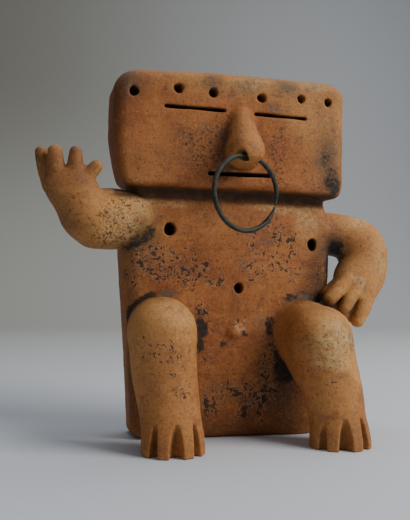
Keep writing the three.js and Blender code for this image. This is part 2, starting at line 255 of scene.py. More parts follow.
def nose_distance(x, y, z):
    """Half rings of growing reach that get squarer towards the nostrils."""
    width = np.interp(z, NOSE_LEVELS[:, 0], NOSE_LEVELS[:, 1]).astype(np.float32)
    reach = np.interp(z, NOSE_LEVELS[:, 0], NOSE_LEVELS[:, 2]).astype(np.float32)
    lean = 1.2 * smooth_step(214 - z, 0, 40)
    ahead = np.maximum(NOSE_FRONT - y, 0)
    side = np.abs(x - NOSE_X - lean * np.clip(ahead / 26, 0, 1))
    power = mix(2.0, 2.7, smooth_step(204 - z, 0, 18))
    reached = ((side / width) ** power + (ahead / reach) ** power) ** (1 / power)
    scale = np.minimum(width, reach) * 0.9
    return np.maximum((reached - 1) * scale, np.abs(z - 194) - 23)


# ---- Clay parts ----------------------------------------------------------------------

UP = (0, 0, 1)
ALONG_X = (1, 0, 0)


def build_figure():
    add(slab_distance, (-74, -20, 0), (74, 20, 172), 0)
    add(head_distance, (-80, -26, 158), (80, 20, 240), 1.6)
    add(nose_distance, (-10, -50, 171), (18, -20, 218), 2.6)

    # The raised arm with its open hand
    add_group(
        [
            (
                [
                    [-62, -8.5, 141, 13.4, 14],
                    [-67, -8.8, 140.2, 16.8, 17],
                    [-74, -9.4, 139.8, 19.2, 18.6],
                    [-82, -11.4, 139.6, 19.4, 18.6],
                    [-88.5, -14.4, 140, 18.2, 17.8],
                    [-93.5, -17.6, 142.8, 16.6, 16.4],
                ],
                UP,
                13,
            ),
            (
                [
                    [-89, -14.5, 136.4, 16, 16.6],
                    [-94, -19.5, 141, 16.8, 16],
                    [-98.4, -23.4, 147.2, 15.6, 13.8],
                    [-102.2, -25.6, 153, 15.1, 11.2],
                    [-105.4, -26.6, 158, 15.2, 8.8],
                    [-107.8, -27, 162.6, 14.6, 6.6],
                ],
                (1, 0, 0.35),
                13,
            ),
            (
                [
                    [-54, 0, 140.4, 13.6, 14],
                    [-69, -2, 139.8, 17.4, 15.6],
                    [-84, -8, 139.4, 17.6, 16.8],
                ],
                UP,
                7,
            ),
            (
                [
                    [-116.8, -21.6, 157, 4.4, 4.6],
                    [-120.4, -20.4, 168, 4.1, 4.1],
                    [-122.7, -20, 178, 3.4, 3.4],
                ],
                ALONG_X,
                6,
            ),
            (
                [
                    [-111.4, -26.4, 156, 5.6, 4.6],
                    [-113.6, -27.6, 168, 5.4, 4.6],
                    [-114.5, -28, 177.6, 4.5, 4.3],
                ],
                ALONG_X,
                6,
            ),
            (
                [
                    [-104, -27.4, 156, 5.6, 4.6],
                    [-102.8, -28.6, 168, 5.3, 4.6],
                    [-102.4, -29, 177.8, 4.1, 4.0],
                ],
                ALONG_X,
                6,
            ),
            (
                [
                    [-100, -27, 155, 5.2, 4.6],
                    [-94.6, -28.6, 163.8, 4.5, 4.3],
                    [-90, -29.4, 169.8, 3.9, 3.8],
                ],
                ALONG_X,
                6,
            ),
        ],
        1.6,
        [2.0, 3.0, 1.6, 1.2, 1.4, 1.6],
    )

    # The arm akimbo with its hand on the hip
    add_group(
        [
            (
                [
                    [50, 0, 136, 11, 11],
                    [60, -1, 135.6, 14.6, 15],
                    [73, -2.4, 135.2, 14.8, 15.4],
                    [85, -4.4, 133.6, 15.2, 14.8],
                    [93.4, -7, 129.6, 16.4, 14.8],
                    [97.6, -10, 121.6, 16.8, 14.6],
                ],
                UP,
                13,
            ),
            (
                [
                    [95, -8.4, 128, 16.8, 14.6],
                    [97.4, -10.8, 119, 17, 14.4],
                    [95.4, -14, 111, 17.2, 13],
                    [90.6, -17.6, 104.4, 17.2, 11.2],
                    [86.6, -20.6, 99.8, 16.4, 9.2],
                    [83.6, -22.6, 96.8, 14.6, 7.2],
                ],
                (0.9, 0, -0.35),
                13,
            ),
            (
                [
                    [79, -25.4, 103.4, 5.2, 4.6],
                    [71, -27.6, 96.6, 5.2, 4.6],
                    [65.8, -28.2, 91, 4.5, 4.2],
                ],
                (1, 0, 0.5),
                6,
            ),
            (
                [
                    [86, -26.6, 101.4, 4.8, 4.4],
                    [79.4, -29.4, 91.8, 4.8, 4.4],
                    [75.2, -30, 85.2, 4.2, 4.0],
                ],
                (1, 0, 0.5),
                6,
            ),
            (
                [
                    [97.4, -20.4, 103.4, 6.2, 5.8],
                    [91.4, -25.6, 88.4, 5.9, 5.4],
                    [85.2, -27.8, 76.4, 4.7, 4.6],
                ],
                (1, 0, 0.5),
                6,
            ),
            (
                [
                    [76, -20, 102, 4, 4.2],
                    [70, -20.5, 98, 3.7, 3.8],
                    [65.4, -20.5, 94.8, 3.1, 3.3],
                ],
                (1, 0, 0.5),
                5,
            ),
            (
                [
                    [83, -22.6, 96, 12, 4.4],
                    [75, -23.4, 86, 12.6, 4],
                    [67, -22.6, 77, 12, 4],
                ],
                (1, 0, -0.5),
                6,
            ),
        ],
        2.5,
        [3.2, 1.2, 1.2, 1.6, 1.2, 1.5],
    )

    # The legs
    add_group(
        [
            (
                [
                    [-47, -5, 68.4, 18.8, 21],
                    [-47.8, -14, 69, 19, 21.2],
                    [-49.5, -30, 70, 19.6, 20.4],
                    [-50.2, -42, 70.6, 19.8, 20],
                ],
                ALONG_X,
                9,
            ),
            (
                [
                    [-50.2, -46, 70.8, 20.2, 19],
                    [-49.3, -47, 52, 19.9, 18.2],
                    [-47, -49, 34, 18.7, 17],
                    [-45.2, -51.5, 18, 18, 16.6],
                    [-44.4, -54.5, 6, 18.9, 17],
                    [-44.2, -55.5, -6, 19.1, 17],
                ],
                ALONG_X,
                13,
            ),
        ],
        2.4,
        [4],
    )
    add_group(
        [
            (
                [
                    [47.5, -5, 69.8, 20.4, 20.4],
                    [49.4, -14, 69.5, 20, 20.4],
                    [51, -30, 68, 19.8, 20.2],
                    [51.6, -42, 66.4, 19.8, 19.8],
                ],
                ALONG_X,
                9,
            ),
            (
                [
                    [51.8, -46, 66, 19.8, 19],
                    [55, -47, 50, 19.5, 18],
                    [58.2, -49, 34, 18.8, 17],
                    [60.4, -51.5, 18, 18, 16.6],
                    [61.2, -54.5, 6, 18.9, 17],
                    [61.4, -55.5, -6, 19.1, 17],
                ],
                ALONG_X,
                13,
            ),
            (
                [
                    [41, -10, 68, 12.4, 13],
                    [43.4, -24, 60, 12, 13],
                    [48, -38, 46, 12.6, 13],
                ],
                ALONG_X,
                7,
            ),
        ],
        3.4,
        [5, 6],
    )

    # The small nub on the belly
    add(
        lambda x, y, z: np.sqrt((x - 1.6) ** 2 + (y + 17.6) ** 2 + (z - 67.8) ** 2)
        - 4.2,
        (-4, -23, 62),
        (7, -12, 74),
        3,
    )


# ---- Noise ---------------------------------------------------------------------------

TABLE = np.random.RandomState(7).uniform(-1, 1, 8192).astype(np.float32)


def lattice(ix, iy, iz, seed):
    key = (ix * 73856093) ^ (iy * 19349663) ^ (iz * 83492791) ^ (seed * 2654435)
    return TABLE[key & 8191]


def noise(points, cell, seed):
    """Smooth value noise between -1 and 1 on cells of the given size."""
    q = points / np.asarray(cell, float) + 100.0
    base = np.floor(q).astype(np.int64)
    f = q - base
    f = f * f * f * (f * (f * 6 - 15) + 10)
    ix, iy, iz = base.T
    fx, fy, fz = f.T
    made = 0
    for dx in (0, 1):
        for dy in (0, 1):
            for dz in (0, 1):
                share = (
                    (fx if dx else 1 - fx)
                    * (fy if dy else 1 - fy)
                    * (fz if dz else 1 - fz)
                )
                made = made + share * lattice(ix + dx, iy + dy, iz + dz, seed)
    return made


def carve_details():
    """The perforations, the slits, the hole in the nose and the gaps of the toes."""
    for holes, end in ((HEAD_HOLES, 40), (BODY_HOLES, 4)):
        for x0, z0, half_x, half_z in holes:

            def hole(x, y, z):
                wobble = 0.04 * np.sin(3 * np.arctan2(z - z0, x - x0) + x0)
                away = np.sqrt(((x - x0) / half_x) ** 2 + ((z - z0) / half_z) ** 2)
                return np.maximum((away - 1 - wobble) * half_x, y - end)

            carve(hole, (x0 - 5, -30, z0 - 5), (x0 + 5, min(end, 24), z0 + 5), 0.5)
    for (x0, z0), (x1, z1) in SLITS:

        def slit(x, y, z):
            run = np.array([x1 - x0, z1 - z0])
            s = ((x - x0) * run[0] + (z - z0) * run[1]) / (run @ run)
            s = np.clip(s, 0.025, 0.975)
            away = np.sqrt((x - x0 - s * run[0]) ** 2 + (z - z0 - s * run[1]) ** 2)
            wide = 1.1 + 0.15 * np.sin(x * 0.21 + z0) + (0.25 if z0 < 180 else 0)
            return np.maximum(away - wide, y + 10)

        carve(slit, (x0 - 3, -34, min(z0, z1) - 3), (x1 + 3, -8, max(z0, z1) + 3), 0.7)

    # The hole through the nose lies level with the ring where it passes
    slope, turn = math.radians(8), math.radians(17)
    way = np.array(
        [
            math.cos(slope) * math.cos(turn),
            math.cos(slope) * math.sin(turn),
            -math.sin(slope),
        ]
    )
    hole = np.array([4.3, -41.3, 179.1])

    def bore(x, y, z):
        r = [x - hole[0], y - hole[1], z - hole[2]]
        s = r[0] * way[0] + r[1] * way[1] + r[2] * way[2]
        away = np.sqrt(sum((r[k] - s * way[k]) ** 2 for k in range(3)))
        flare = 0.05 * np.maximum(np.abs(s) - 5, 0)
        return away - 2.95 - flare

    carve(bore, (-14, -58, 166), (24, -26, 192), 1.6)

    for x0, y0, turn, wide in TOE_GAPS:
        a = math.radians(turn)

        def gap(x, y, z):
            across = (x - x0) * math.cos(a) + (y - y0) * math.sin(a)
            along = -(x - x0) * math.sin(a) + (y - y0) * math.cos(a)
            up = np.clip(z / 21, 0, 1)
            half = wide * mix(1.12, 0.55, up**1.6)
            deep = mix(9.6, 5.2, up**2)
            flat = np.sqrt((across / half) ** 2 + (along / deep) ** 2) - 1
            return soft_max(flat * half, z - 20.5, 3)

        carve(gap, (x0 - 10, y0 - 10, -4), (x0 + 10, y0 + 10, 24), 0.9)


# Middle x and z, half width and half height
HEAD_HOLES = [
    (-66.9, 219.5, 3.0, 3.2),
    (-38.4, 223.4, 3.1, 3.2),
    (-15.6, 222.2, 3.0, 3.2),
    (17.1, 221.2, 3.2, 3.0),
    (44.6, 222.8, 2.7, 2.9),
    (63.9, 222.0, 2.5, 2.9),
]
BODY_HOLES = [
    (-41.3, 133.8, 3.8, 4.3),
    (56.0, 126.6, 3.1, 4.2),
    (5.0, 96.7, 3.1, 3.5),
]
SLITS = [
    ((-47.4, 211.6), (-7.2, 211.1)),
    ((12.2, 210.4), (48.3, 209.7)),
    ((-18, 170.1), (24.3, 170.4)),
]
TOE_GAPS = [
    (-60.2, -68.5, -38, 2.6),
    (-45.6, -73.5, 0, 3.9),
    (-31.4, -69, 38, 2.5),
    (42.6, -68, -38, 2.9),
    (57.8, -73.5, 0, 4.0),
    (72.8, -69.5, 38, 2.6),
]


def near_surface(reach):
    at = np.nonzero(np.abs(field) < reach)
    points = np.stack([AXES[k][at[k]] for k in range(3)], axis=1).astype(np.float64)
    return at, points


def undulate():
    """Hand pressure in the clay: long soft dents and short ones."""
    at, p = near_surface(3.0)
    value = field[at]
    value += 0.55 * noise(p, 34, 1)
    value += 0.28 * noise(p, 15, 2)
    value += 0.10 * noise(p, 6.5, 3)
    value += 0.06 * noise(p, (9, 4, 2.2), 4)
    value += 0.05 * noise(p, 2.4, 5)
    field[at] = value


build_figure()
undulate()
carve_details()
field[:] = np.maximum(field, -AXES[2].reshape(1, 1, -1))


# ---- From the field to a mesh --------------------------------------------------------


def blurred(values, sigma):
    """The field smoothed with a bell curve, sigma in voxels."""
    reach = int(math.ceil(2.5 * sigma))
    weights = np.exp(-0.5 * (np.arange(-reach, reach + 1) / sigma) ** 2)
    weights /= weights.sum()
    made = values
    for axis in range(3):
        pads = [(reach, reach) if k == axis else (0, 0) for k in range(3)]
        wide = np.pad(made, pads, mode="edge")
        total = np.zeros_like(made)
        for k, weight in enumerate(weights):
            cut = [slice(None)] * 3
            cut[axis] = slice(k, k + made.shape[axis])
            total += np.float32(weight) * wide[tuple(cut)]
        made = total
    return made


def sampled(values, points):
    """Values of a field at points in slab millimetres."""
    q = (points - FIELD_LOW) / VOXEL
    base = np.clip(np.floor(q).astype(int), 0, np.array(SHAPE) - 2)
    f = q - base
    made = 0
    for dx in (0, 1):
        for dy in (0, 1):
            for dz in (0, 1):
                share = (
                    np.abs(1 - dx - f[:, 0])
                    * np.abs(1 - dy - f[:, 1])
                    * np.abs(1 - dz - f[:, 2])
                )
                at = base + (dx, dy, dz)
                made = made + share * values[at[:, 0], at[:, 1], at[:, 2]]
    return made


def object_from(name, points, faces):
    """A mesh object from points in slab millimetres and faces of one size."""
    mesh = bpy.data.meshes.new(name)
    sides = faces.shape[1]
    mesh.vertices.add(len(points))
    mesh.vertices.foreach_set("co", ((points + OFFSET) * MM).astype(np.float32).ravel())
    mesh.loops.add(faces.size)
    mesh.loops.foreach_set("vertex_index", faces.astype(np.int32).ravel())
    mesh.polygons.add(len(faces))
    mesh.polygons.foreach_set("loop_start", np.arange(0, faces.size, sides))
    mesh.polygons.foreach_set("loop_total", np.full(len(faces), sides))
    mesh.update(calc_edges=True)
    mesh.validate()
    made = bpy.data.objects.new(name, mesh)
    bpy.context.scene.collection.objects.link(made)
    return made


def applied(obj):
    """The object with its modifiers made part of its mesh."""
    graph = bpy.context.evaluated_depsgraph_get()
    fresh = bpy.data.meshes.new_from_object(obj.evaluated_get(graph))
    obj.modifiers.clear()
    old = obj.data
    obj.data = fresh
    bpy.data.meshes.remove(old)
    fresh.name = obj.name
    return obj


def smooth_shaded(obj):
    obj.data.polygons.foreach_set(
        "use_smooth", np.ones(len(obj.data.polygons), bool)
    )
    obj.data.update()


def slab_points(obj):
    """Vertex positions of an object in slab millimetres."""
    co = np.empty(len(obj.data.vertices) * 3, np.float32)
    obj.data.vertices.foreach_get("co", co)
    return co.reshape(-1, 3).astype(np.float64) / MM - OFFSET


MOST_TRIANGLES = 180000


def figure_object():
    grid = openvdb.FloatGrid(FAR)
    grid.copyFromArray(field)
    points, quads = grid.convertToQuads(0.0)
    points = np.asarray(points, np.float64) * VOXEL + FIELD_LOW
    quads = np.asarray(quads)
    a, b, c = (points[quads[:, k]] for k in range(3))
    if np.einsum("ij,ij->", a, np.cross(b, c)) < 0:
        quads = quads[:, ::-1]
    made = object_from("clay_figure", points, quads)
    print("figure quads", len(quads))
    thin = made.modifiers.new("thin", "DECIMATE")
    thin.ratio = min(1.0, MOST_TRIANGLES / (2 * len(quads)))
    thin.use_collapse_triangulate = True
    applied(made)
    print("figure triangles", len(made.data.polygons))
    smooth_shaded(made)
    return made


figure = figure_object()
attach(figure, "root")
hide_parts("figure")


# ---- Marks on the clay ---------------------------------------------------------------

P = slab_points(figure)
PX, PY, PZ = P.T
WOBBLE = np.stack([noise(P, 7, 21), noise(P, 7, 22), noise(P, 7, 23)], axis=1)
FINE = np.stack([noise(P, 2.6, 31), noise(P, 2.6, 32), noise(P, 2.6, 33)], axis=1)


def spot(centre, size, soft=0.35, ragged=1.0):
    """1 inside a ragged ellipsoid, and 0 outside."""
    q = P + ragged * (1.6 * WOBBLE + 0.8 * FINE) - np.array(centre, float)
    away = np.sqrt(((q / np.array(size, float)) ** 2).sum(axis=1))
    return smooth_step(-away, -1 - soft, -1 + soft)


def spots(rows, soft=0.35, ragged=1.0):
    made = np.zeros(len(P))
    for centre, size, share in rows:
        made = np.maximum(made, share * spot(centre, size, soft, ragged))
    return made


def streak(line, y, radius, soft=0.5):
    """1 along a line of (x, z) points on the front, and 0 away from it."""
    away = np.full(len(P), 1e3)
    q = P + 1.2 * WOBBLE + 0.8 * FINE
    for (x0, z0), (x1, z1) in zip(line[:-1], line[1:]):
        run = np.array([x1 - x0, z1 - z0], float)
        s = ((q[:, 0] - x0) * run[0] + (q[:, 2] - z0) * run[1]) / (run @ run)
        s = np.clip(s, 0, 1)
        gap = np.hypot(q[:, 0] - x0 - s * run[0], q[:, 2] - z0 - s * run[1])
        away = np.minimum(away, gap)
    near = smooth_step(-np.abs(q[:, 1] - y), -9, -5)
    return near * smooth_step(-away / radius, -1 - soft, -1 + soft)


def limb_distance(number):
    return np.min([one(PX, PY, PZ) for one, _, _ in LIMBS[number]], axis=0)


BODY = np.minimum(slab_distance(PX, PY, PZ), head_distance(PX, PY, PZ))
RAISED, AKIMBO, LEFT_LEG, RIGHT_LEG = (limb_distance(k) for k in range(4))
ON_RAISED, ON_AKIMBO, ON_LEFT, ON_RIGHT = (
    smooth_step(BODY - one + 0.6 * WOBBLE[:, 0], -0.6, 1.4)
    for one in (RAISED, AKIMBO, LEFT_LEG, RIGHT_LEG)
)
ON_LIMB = np.maximum.reduce([ON_RAISED, ON_AKIMBO, ON_LEFT, ON_RIGHT])
ON_BODY = 1 - ON_LIMB
ON_NOSE = smooth_step(BODY - nose_distance(PX, PY, PZ), 0, 2)


def beside(distance, reach):
    """1 on the body where a limb leaves it, and 0 further away."""
    return ON_BODY * smooth_step(-distance + 1.2 * WOBBLE[:, 1], -reach, -reach * 0.3)


FRONT = -19
FACE = -25

# Black deposits, and painted shade in the armpit of the arm akimbo, under the fingers of the hand on
# the hip and beside the right thigh's root
BLACK_AND_SHADE = [
    ((34.5, FRONT, 50), (5.5, 6, 17), 1.0),
    ((41, FRONT, 42), (9, 6, 8), 1.0),
    ((46, FRONT, 39.5), (9, 6, 5.5), 1.0),
    ((47, FRONT, 50), (8, 6, 14), 1.0),
    ((26.5, FRONT, 72), (4.2, 5, 6.5), 0.75),
    ((41, FRONT, 91), (7, 5, 3), 0.8),
    ((-19.5, FRONT, 70), (4, 5, 6.5), 0.95),
    ((-21, FRONT, 60), (2.4, 5, 7), 0.95),
    ((-22, FRONT, 80), (4.6, 5, 6), 0.55),
    ((-57, FRONT, 132), (4.5, 6, 8), 0.6),
    ((-63, FRONT, 125), (6, 6, 5), 0.65),
    ((-70, FRONT, 121), (5, 6, 3), 0.6),
    ((75, -10, 125), (8, 10, 6.5), 1.0),
    ((69, -14, 112), (3.5, 10, 12), 0.8),
    ((62.5, FACE, 184), (4.5, 5, 7), 0.6),
    ((66.5, FACE, 175), (5, 7, 5), 0.65),
    ((68, FACE, 166), (6.5, 8, 8), 0.8),
    ((-5, FRONT, 61.5), (2.4, 4, 3.6), 0.8),
    ((9.4, FRONT, 66.4), (2.6, 4, 2.8), 0.7),
    ((23, FRONT, 31), (3.5, 4, 4.5), 0.7),
    ((24.5, FRONT, 24), (3, 4, 4), 0.75),
    ((68, -22, 82), (13, 5, 8), 0.95),
    ((60, -18, 88), (9, 5, 6), 0.75),
    ((-104, -29, 181), (5, 6, 3.4), 0.45),
    ((-125, -20, 174), (3, 6, 9), 0.4),
]

SPECKS = [
    ((-50, FRONT, 112), (21, 7, 15), 0.9),
    ((-24, FRONT, 106), (14, 7, 12), 1.0),
    ((-12, FRONT, 99), (10, 7, 5), 0.85),
    ((-31, FRONT, 119), (8, 7, 6), 0.6),
    ((-8, FRONT, 134), (7, 7, 6), 0.35),
    ((-4, FRONT, 120), (9, 7, 5), 0.45),
    ((-20, FRONT, 145), (7, 7, 8), 0.5),
    ((12, FRONT, 130), (9, 7, 5), 0.75),
    ((16, FRONT, 121), (8, 7, 8), 0.8),
    ((26, FRONT, 141), (7, 7, 5), 0.9),
    ((32, FRONT, 131), (7, 7, 8), 1.0),
    ((41, FRONT, 127), (5, 7, 11), 0.9),
    ((15, FRONT, 110), (10, 7, 8), 0.95),
    ((34, FRONT, 112), (11, 7, 9), 0.95),
    ((22, FRONT, 100), (9, 7, 4), 0.5),
    ((44, FRONT, 108), (6, 7, 8), 0.8),
    ((0, FRONT, 31), (22, 7, 7), 1.0),
    ((-14, FRONT, 22), (7, 7, 10), 0.9),
    ((8, FRONT, 19), (9, 7, 5), 0.9),
    ((-4, FRONT, 9), (12, 7, 3.4), 0.6),
    ((22, FRONT, 30), (12, 7, 14), 1.0),
    ((22, FRONT, 14), (5, 7, 9), 0.8),
    ((27, FRONT, 52), (7, 7, 18), 0.9),
    ((36, FRONT, 18), (10, 7, 14), 0.55),
    ((0, FRONT, 76), (8, 7, 4), 0.7),
    ((-14, FRONT, 70), (5, 7, 4), 0.75),
    ((-20, FRONT, 80), (6, 7, 8), 0.9),
    ((4, FRONT, 55), (16, 7, 10), 0.4),
    ((-12, FRONT, 48), (9, 7, 12), 0.6),
    ((-60, FRONT, 90), (10, 7, 12), 0.45),
    ((-64, FRONT, 50), (6, 7, 40), 0.5),
    ((-64, FRONT, 105), (8, 7, 20), 0.75),
    ((4, FRONT, 92), (20, 7, 6), 0.35),
    ((-52, -58, 60), (13, 10, 9), 0.8),
    ((-47, -62, 50), (10, 9, 12), 0.6),
    ((-41, -64, 38), (7, 8, 7), 0.8),
    ((-57, -60, 31), (7, 9, 4), 0.75),
    ((-35, -62, 52), (6, 9, 16), 0.35),
    ((52, -60, 52), (14, 9, 10), 0.6),
    ((57, -60, 38), (9, 9, 10), 0.6),
    ((40, -50, 50), (8, 12, 9), 0.5),
    ((52, -60, 22), (12, 9, 6), 0.4),
    ((98, -22, 108), (8, 12, 9), 0.35),
    ((90, -28, 96), (9, 8, 7), 0.55),
    ((60, FACE, 170), (12, 8, 12), 0.6),
]

DUST = [
    ((-78, -24, 137), (20, 20, 20), 1.0),
    ((-62, -22, 146), (12, 14, 9), 0.9),
    ((-100, -30, 140), (14, 16, 14), 0.6),
    ((-22, FACE, 186), (19, 7, 16), 1.0),
    ((-12, FACE, 176), (14, 7, 14), 1.0),
    ((-8, FACE, 197), (10, 7, 12), 0.9),
    ((-52, FACE, 176), (24, 7, 10), 0.55),
    ((-40, FACE, 168), (26, 7, 8), 0.6),
    ((29, FACE, 186), (9, 7, 18), 0.95),
    ((31, FACE, 168), (11, 7, 10), 0.9),
    ((50, FACE, 180), (9, 7, 16), 0.4),
    ((0, FRONT, 146), (40, 7, 6), 0.45),
    ((46, FRONT, 152), (22, 8, 5), 0.6),
    ((-30, FRONT, 112), (34, 7, 22), 0.5),
    ((10, FRONT, 28), (50, 7, 24), 0.6),
    ((60, FRONT, 100), (12, 8, 18), 0.8),
    ((52, -60, 62), (16, 12, 14), 0.6),
    ((-50, -58, 62), (18, 12, 16), 0.5),
    ((110, -16, 118), (10, 16, 20), 0.3),
]

GREY = [
    ((-15.5, FACE, 228), (5, 8, 5.5), 0.8),
    ((-72, FACE, 226), (9, 8, 8), 0.6),
    ((10, FACE, 229), (10, 8, 4.6), 0.5),
    ((36, FACE, 228), (9, 8, 6), 0.75),
    ((51, FACE, 232), (9, 8, 3), 0.6),
    ((28, FACE, 215), (9, 6, 3), 0.5),
    ((66, FACE, 196), (8, 9, 18), 0.5),
    ((60, FACE, 180), (5, 7, 8), 0.5),
    ((-16, FACE, 197), (9, 6, 4), 0.45),
    ((64, -55, 65), (3.4, 12, 9), 0.8),
    ((58, -36, 86), (13, 17, 4), 0.5),
    ((47, FRONT, 91), (12, 8, 3.4), 0.7),
    ((-42, FRONT, 93), (7, 6, 3), 0.9),
    ((-84, -12, 156), (8, 10, 5), 0.6),
    ((22, FRONT, 71), (6, 5, 8), 0.5),
    ((36, FRONT, 28), (10, 6, 8), 0.5),
    ((11, FRONT, 22), (6, 5, 4), 0.55),
    ((-10, FRONT, 33), (8, 5, 4), 0.5),
    ((24, FRONT, 128), (4, 5, 3), 0.7),
    ((8, FRONT, 112), (4, 5, 4), 0.7),
    ((90, -30, 101), (4, 5, 3), 0.8),
    ((14, -47, 190), (2, 6, 10), 0.5),
]

# Dark stains, and painted shade on sides turned from the lamp: the face's left half, the nose's left
# flank, the slab's left side, the raised forearm and hand, the right foot, and the gaps under the
# arms and fingers
DARK_STAIN_AND_SHADE = [
    ((-76, FACE, 218), (9, 12, 18), 0.55),
    ((-70, FACE, 172), (16, 10, 12), 0.4),
    ((-24, FACE, 182), (26, 7, 18), 0.45),
    ((-6, FACE, 184), (6, 6, 16), 0.6),
    ((72, -10, 118), (8, 14, 18), 0.9),
    ((60, FRONT, 104), (9, 8, 14), 0.6),
    ((56, FRONT, 90), (12, 9, 6), 0.8),
    ((30, FRONT, 30), (16, 8, 30), 0.5),
    ((20, FRONT, 8), (60, 8, 8), 0.45),
    ((-70, FRONT, 30), (9, 12, 34), 0.5),
    ((-64, FRONT, 80), (8, 10, 60), 0.3),
    ((-112, -26, 168), (16, 14, 18), 0.55),
    ((-112, -26, 145), (13, 16, 18), 0.4),
    ((38, -30, 60), (7, 18, 22), 0.45),
    ((70, -26, 84), (16, 8, 9), 0.6),
    ((62, -62, 10), (24, 18, 12), 0.35),
    ((-18, FRONT, 146), (8, 7, 10), 0.35),
]

# Smoke marks, and painted shade on the head's left side, the nose's left flank, the raised forearm
# and hand, under both arms, under the hip hand's fingers, beside the right leg's root and on the
# slab's left side
SMOKE_AND_SHADE = [
    ((63, FACE, 184), (8, 8, 13), 0.65),
    ((67, FACE, 169), (8, 9, 11), 0.85),
    ((75, -14, 182), (5, 12, 20), 0.5),
    ((-15.5, FACE, 229), (6, 8, 7), 0.55),
    ((-70, FACE, 224), (11, 8, 10), 0.5),
    ((-80, -14, 200), (4, 16, 30), 0.5),
    ((33, FACE, 229), (9, 8, 6), 0.3),
    ((-7, FACE, 184), (6, 6, 14), 0.55),
    ((-58, FRONT, 130), (9, 7, 12), 0.75),
    ((-67, FRONT, 121), (7, 8, 6), 0.8),
    ((71, -12, 120), (12, 16, 15), 1.0),
    ((63, FRONT, 106), (9, 8, 13), 0.8),
    ((57, FRONT, 96), (11, 8, 8), 0.6),
    ((64, -20, 87), (14, 11, 7), 1.0),
    ((38, FRONT, 22), (16, 8, 18), 0.6),
    ((28, FRONT, 42), (9, 8, 14), 0.45),
    ((-66, FRONT, 30), (7, 10, 30), 0.5),
    ((0, FRONT, 5), (60, 8, 4), 0.35),
    ((-120, -22, 150), (9, 14, 12), 0.5),
    ((-108, -26, 134), (12, 18, 9), 0.35),
    ((-104, -30, 182), (5, 6, 4), 0.7),
    ((-126, -20, 172), (4, 8, 12), 0.6),
]

# Pale slip on the knees and elsewhere, and painted highlight on the lit tops of both arms and the
# elbow akimbo
PALE_AND_HIGHLIGHT = [
    ((53, -60, 66), (11, 12, 9), 1.0),
    ((51, -60, 55), (11, 12, 8), 0.8),
    ((-47, -62, 82), (13, 14, 9), 0.3),
    ((-26.4, FRONT, 92.4), (1.2, 4, 1.2), 1.0),
    ((-36, -64, 66), (1.8, 6, 1.4), 0.9),
    ((7, FRONT, 71), (5, 6, 4), 0.6),
    ((-74, -25, 132), (14, 14, 11), 0.6),
    ((-64, -22, 148), (10, 12, 7), 0.4),
    ((104, -14, 116), (9, 16, 14), 0.45),
    ((92, -16, 144), (9, 12, 5), 0.6),
    ((-60, FRONT, 150.5), (10, 8, 3), 0.6),
    ((-40, FRONT, 150.5), (14, 8, 2.4), 0.5),
    ((40, FRONT, 150), (30, 8, 3), 0.7),
    ((52, FRONT, 141), (8, 8, 10), 0.5),
    ((12, FACE, 231), (16, 8, 5), 0.4),
    ((54, FACE, 232), (12, 8, 4), 0.5),
    ((86, -28, 101), (4, 6, 3), 0.6),
]

# Ochre tone, and painted light on the lit head top, arm tops, knees and the elbow akimbo
OCHRE_AND_LIGHT = [
    ((20, FACE, 232), (80, 30, 11), 0.7),
    ((58, FACE, 212), (26, 30, 20), 0.7),
    ((66, FACE, 190), (14, 12, 26), 0.6),
    ((-74, -20, 138), (26, 24, 24), 0.9),
    ((106, -14, 120), (14, 24, 22), 0.8),
    ((88, -16, 142), (14, 20, 8), 0.6),
    ((-46, -50, 84), (24, 34, 10), 0.7),
    ((-64, -50, 60), (8, 20, 20), 0.5),
    ((53, -56, 64), (15, 20, 16), 0.7),
    ((56, FRONT, 136), (14, 9, 16), 0.5),
]


def store(obj, name, values):
    layer = obj.data.attributes.new(name, "FLOAT", "POINT")
    layer.data.foreach_set("value", np.clip(values, 0, 1).astype(np.float32))


# The mask of the painted shade inside the holes
def in_holes():
    """1 inside the perforations and the slits, and 0 on the skin around them."""
    made = np.zeros(len(P))
    for x0, z0, half_x, half_z in HEAD_HOLES:
        away = np.hypot((PX - x0) / half_x, (PZ - z0) / half_z)
        inner = smooth_step(PY, -23.8, -22.2) * smooth_step(-PY, -17, -15)
        made = np.maximum(made, inner * smooth_step(-away, -1.3, -1.15))
    for x0, z0, half_x, half_z in BODY_HOLES:
        away = np.hypot((PX - x0) / half_x, (PZ - z0) / half_z)
        inner = smooth_step(PY, -18.2, -16.8) * smooth_step(-PY, -6, -5)
        made = np.maximum(made, inner * smooth_step(-away, -1.3, -1.15))
    for (x0, z0), (x1, z1) in SLITS:
        along = (PX > x0 - 1.5) & (PX < x1 + 1.5)
        level = z0 + (z1 - z0) * (PX - x0) / (x1 - x0)
        near = smooth_step(-np.abs(PZ - level), -2.6, -2.0)
        made = np.maximum(made, along * near * smooth_step(PY, -24.2, -23) * (PY < -9))
    return made


hollow = sampled(blurred(np.clip(field, -5, 5), 2.6), P)
# Painted shade: a dark band under the overhang of the jaw
JAW_SHADE = (
    smooth_step(-np.abs(PZ - 156.6 + 0.5 * WOBBLE[:, 2]), -5.4, -2.4)
    * smooth_step(-PY, 8, 13)
    * smooth_step(-np.abs(PX), -80, -76)
)
# The raised forearm and hand get painted shade through the dark marks, and less ochre
ON_PALM = ON_RAISED * smooth_step(PZ, 146, 160)
tan = 0.55 * ON_RAISED + 0.5 * ON_AKIMBO + 0.55 * ON_LEFT + 0.5 * ON_RIGHT + 0.4 * ON_NOSE
tan -= 0.25 * ON_LEFT * smooth_step(-PZ, -64, -20)
tan -= 0.25 * ON_RIGHT * smooth_step(-PZ, -30, -10)
ochre_and_light = np.maximum(spots(OCHRE_AND_LIGHT, 0.5, 1.4), 0.15 * ON_LIMB) * (1 - 0.8 * ON_PALM)
